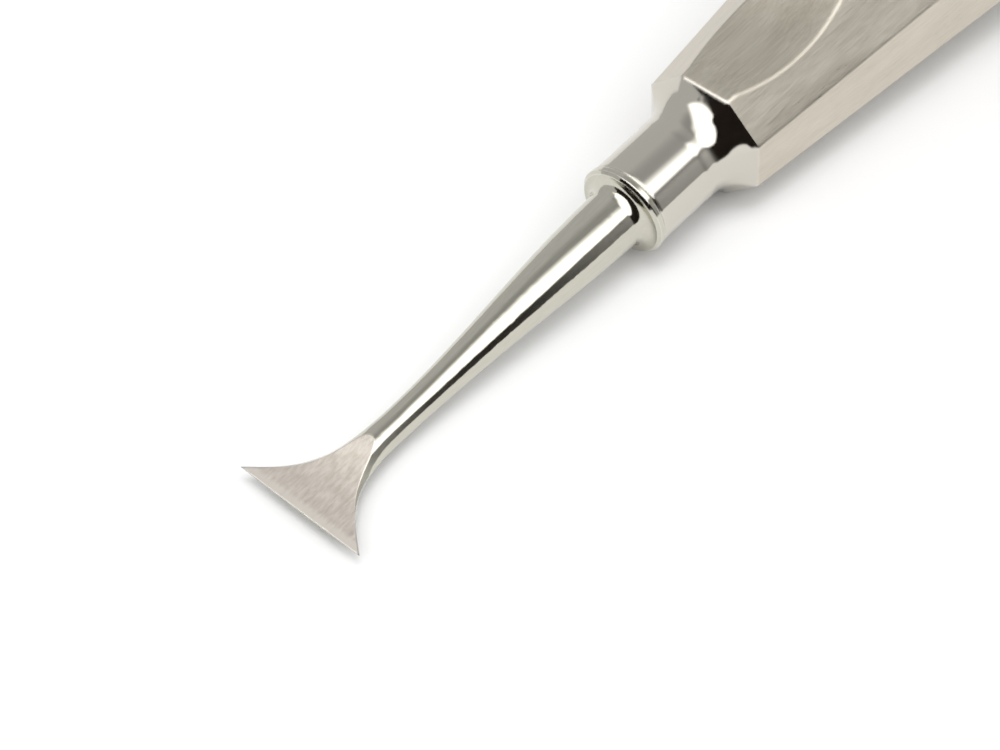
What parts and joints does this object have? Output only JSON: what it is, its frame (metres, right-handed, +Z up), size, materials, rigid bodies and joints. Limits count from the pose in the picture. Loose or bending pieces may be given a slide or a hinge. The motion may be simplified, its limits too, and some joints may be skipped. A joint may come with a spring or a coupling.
{
  "type": "dental elevator",
  "caption": "Stainless steel dental elevator: a thin fan-shaped blade on a tapered round shank, seated in an octagonal grip with a thumb scoop.",
  "frame": {"origin": "centre of the box's base, on the surface the grip's facet lies on", "axes": "+X along the instrument towards the blade, +Z up, thumb scoop on top"},
  "size_m": [0.1376, 0.0204, 0.0212],
  "materials": {
    "polished_steel": "mirror-polished stainless steel, the blade's face satin ground",
    "satin_steel": "stainless steel brushed lengthwise on the grip, mirror-polished on the neck"
  },
  "bodies": {
    "root": {"working_end": "polished_steel", "handle": "satin_steel"}
  },
  "joints": []
}
